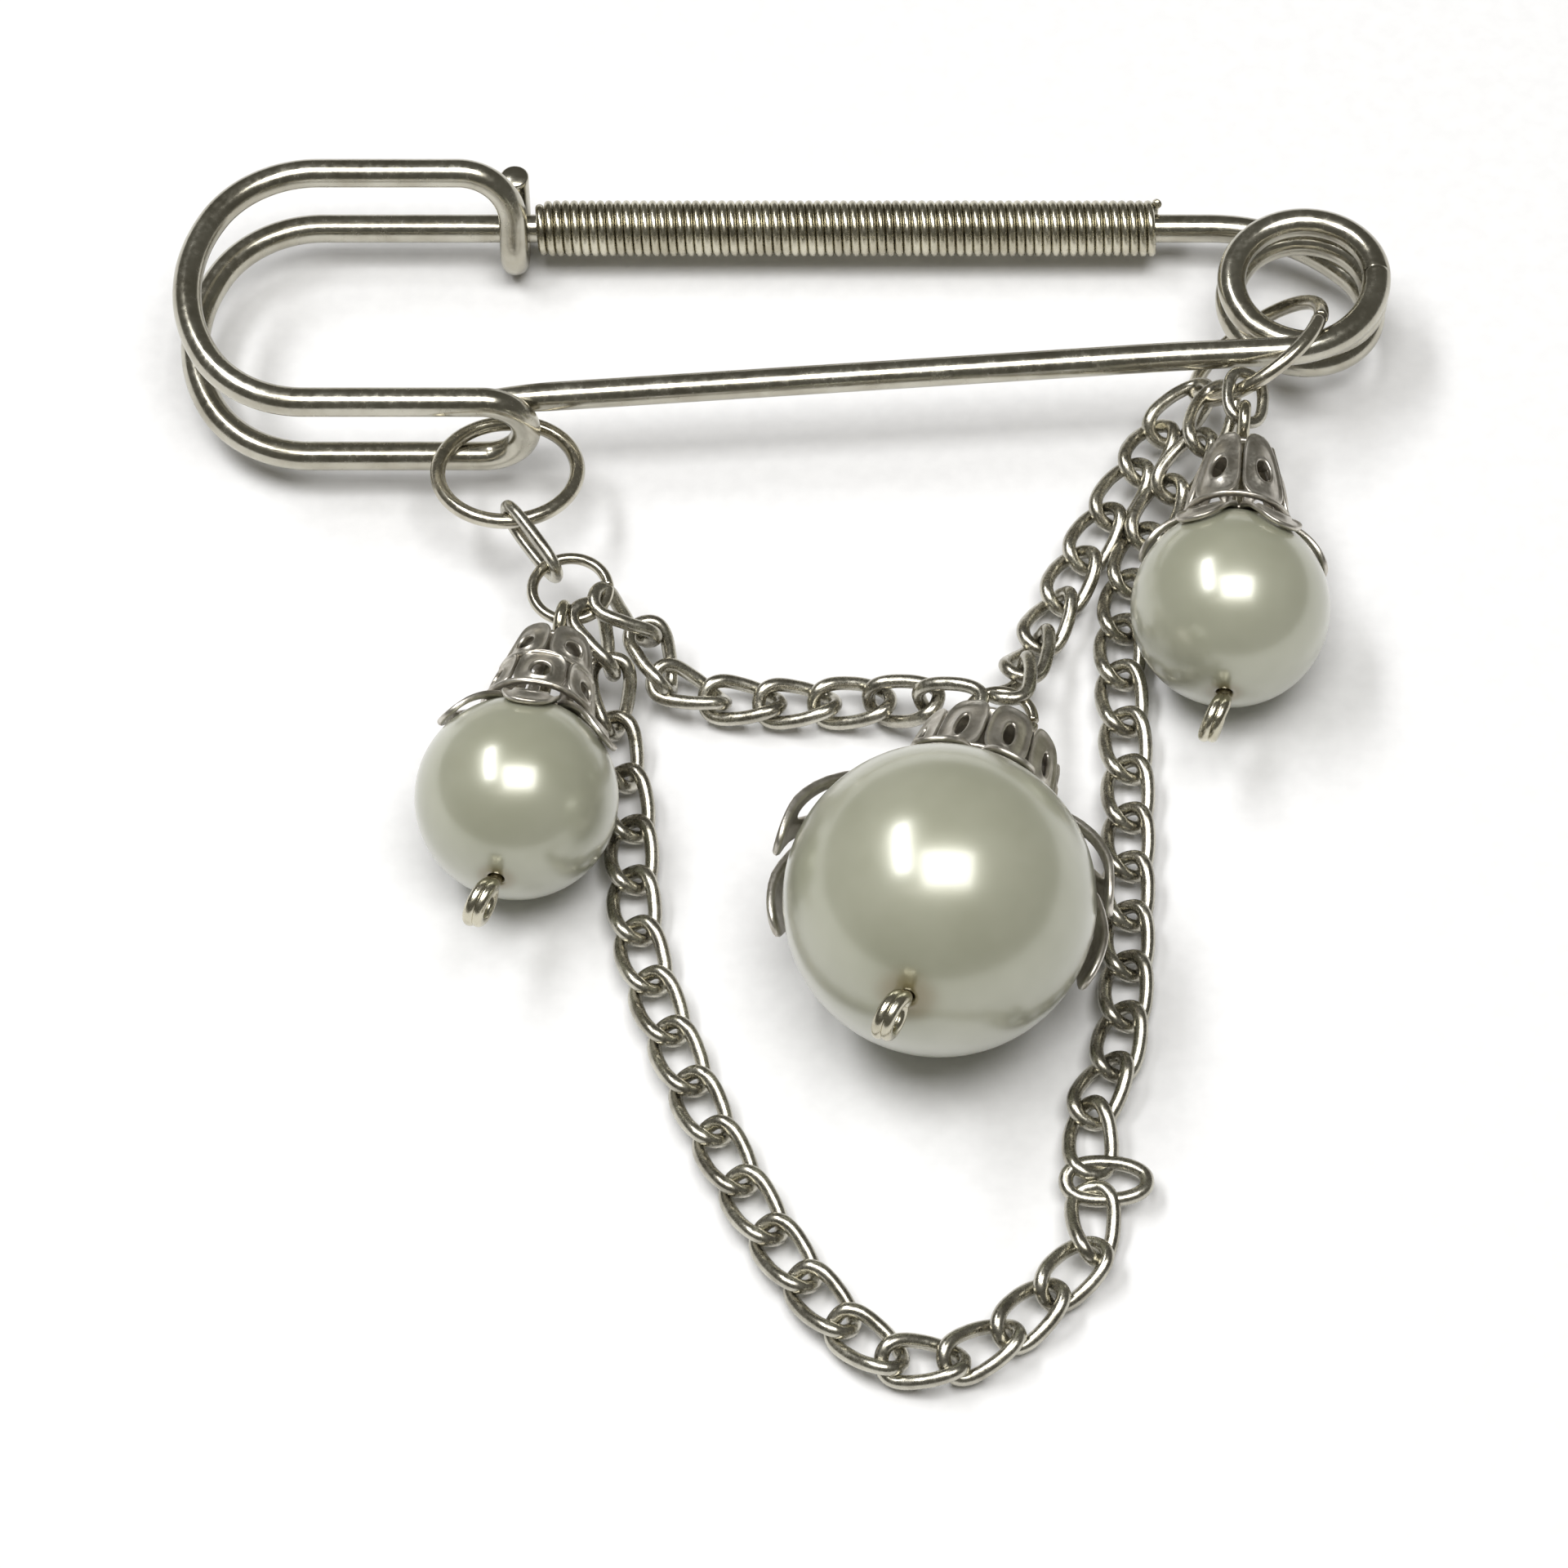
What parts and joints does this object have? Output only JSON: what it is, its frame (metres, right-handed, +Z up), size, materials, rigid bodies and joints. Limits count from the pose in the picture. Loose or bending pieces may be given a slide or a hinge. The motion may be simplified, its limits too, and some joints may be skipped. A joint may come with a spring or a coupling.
{
  "type": "kilt pin brooch",
  "caption": "Large safety-pin brooch of round wire with a spring coil, an open wire catch, a wound wire sleeve, draped link chains and hanging pearl drops in petal caps.",
  "frame": {"origin": "centre of the brooch's footprint on the surface it lies on", "axes": "+X along the bar towards the spring coil, +Y from the hanging chain towards the bar, +Z up out of the brooch's front"},
  "size_m": [0.076, 0.084, 0.0186],
  "materials": {
    "pin_wire": "polished, warm silver tone, slightly worn",
    "sleeve_wire": "polished, tarnished in the grooves",
    "ring_wire": "polished, slightly tarnished",
    "chain_metal": "polished, slightly tarnished",
    "cap_metal": "stamped, tarnished silver tone",
    "eye_pin_wire": "satin",
    "pearl": "imitation pearl, greenish cream, soft lustre"
  },
  "bodies": {
    "pin_frame": {"bar_and_catch": "pin_wire", "spring_coil": "pin_wire"},
    "sleeve": {"wound_sleeve": "sleeve_wire"},
    "needle": {"needle_root": "pin_wire", "needle": "pin_wire"},
    "swag": {"centre_hanger_ring": "ring_wire", "left_connector": "chain_metal", "left_hanger_ring": "ring_wire", "left_jump_ring": "ring_wire", "lower_chain_links_01": "chain_metal", "lower_chain_links_02": "chain_metal", "lower_chain_links_03": "chain_metal", "lower_chain_links_04": "chain_metal", "lower_chain_links_05": "chain_metal", "lower_chain_links_06": "chain_metal", "lower_chain_links_07": "chain_metal", "lower_chain_links_08": "chain_metal", "lower_chain_links_09": "chain_metal", "lower_chain_links_10": "chain_metal", "lower_chain_links_11": "chain_metal", "lower_chain_links_12": "chain_metal", "lower_chain_links_13": "chain_metal", "lower_chain_links_14": "chain_metal", "lower_chain_links_15": "chain_metal", "lower_chain_links_16": "chain_metal", "lower_chain_links_17": "chain_metal", "lower_chain_links_18": "chain_metal", "lower_chain_links_19": "chain_metal", "right_connector": "chain_metal", "right_jump_ring": "ring_wire", "upper_left_link_01": "chain_metal", "upper_left_link_02": "chain_metal", "upper_left_link_03": "chain_metal", "upper_left_link_04": "chain_metal", "upper_left_link_05": "chain_metal", "upper_left_link_06": "chain_metal", "upper_left_link_07": "chain_metal", "upper_left_link_08": "chain_metal", "upper_right_link_01": "chain_metal", "upper_right_link_02": "chain_metal", "upper_right_link_03": "chain_metal", "upper_right_link_04": "chain_metal", "upper_right_link_05": "chain_metal", "upper_right_link_06": "chain_metal", "upper_right_link_07": "chain_metal", "upper_right_link_08": "chain_metal"},
    "drop_left": {"eye_pin_left": "eye_pin_wire", "petal_cap_left": "cap_metal", "crown_left": "cap_metal"},
    "bead_left": {"pearl_left": "pearl"},
    "drop_centre": {"eye_pin_centre": "eye_pin_wire", "petal_cap_centre": "cap_metal", "crown_centre": "cap_metal"},
    "bead_centre": {"pearl_centre": "pearl"},
    "drop_right": {"eye_pin_right": "eye_pin_wire", "petal_cap_right": "cap_metal", "crown_right": "cap_metal"},
    "bead_right": {"pearl_right": "pearl"}
  },
  "joints": [
    {"name": "sleeve_slide", "type": "slide", "parent": "pin_frame", "child": "sleeve", "axis": [1, 0, 0], "range_m": [0, 0.0025]},
    {"name": "needle_press", "type": "hinge", "parent": "pin_frame", "child": "needle", "pos_m": [0.0326, 0.03215, 0.00303], "axis": [0, 0, -1], "range_deg": [0, 7], "stiffness_Nm_per_rad": 0.12, "deforming": ["spring_coil"]},
    {"name": "swag_swing", "type": "hinge", "parent": "pin_frame", "child": "swag", "pos_m": [-0.017, 0.02182, 0.00403], "axis": [-0.9901, -0.126, -0.0611], "range_deg": [0, 15]},
    {"name": "left_drop_swing", "type": "hinge", "parent": "swag", "child": "drop_left", "pos_m": [-0.01333, 0.00705, 0.00517], "axis": [-0.9848, 0.1738, 0], "range_deg": [0, 75]},
    {"name": "centre_drop_swing", "type": "hinge", "parent": "swag", "child": "drop_centre", "pos_m": [0.01236, -0.00178, 0.00466], "axis": [-0.9698, 0.244, 0], "range_deg": [0, 60]},
    {"name": "right_drop_swing", "type": "hinge", "parent": "swag", "child": "drop_right", "pos_m": [0.02824, 0.02068, 0.00697], "axis": [-0.9946, 0.1034, 0], "range_deg": [0, 60]},
    {"name": "left_pearl_spin", "type": "hinge", "parent": "drop_left", "child": "bead_left", "pos_m": [-0.0157, -0.00635, 0.00613], "axis": [0.1734, 0.9823, -0.0702], "continuous": true},
    {"name": "centre_pearl_spin", "type": "hinge", "parent": "drop_centre", "child": "bead_centre", "pos_m": [0.0089, -0.01555, 0.00963], "axis": [0.2303, 0.9153, -0.3305], "continuous": true},
    {"name": "right_pearl_spin", "type": "hinge", "parent": "drop_right", "child": "bead_right", "pos_m": [0.02685, 0.00725, 0.00613], "axis": [0.1032, 0.9927, 0.0621], "continuous": true}
  ]
}
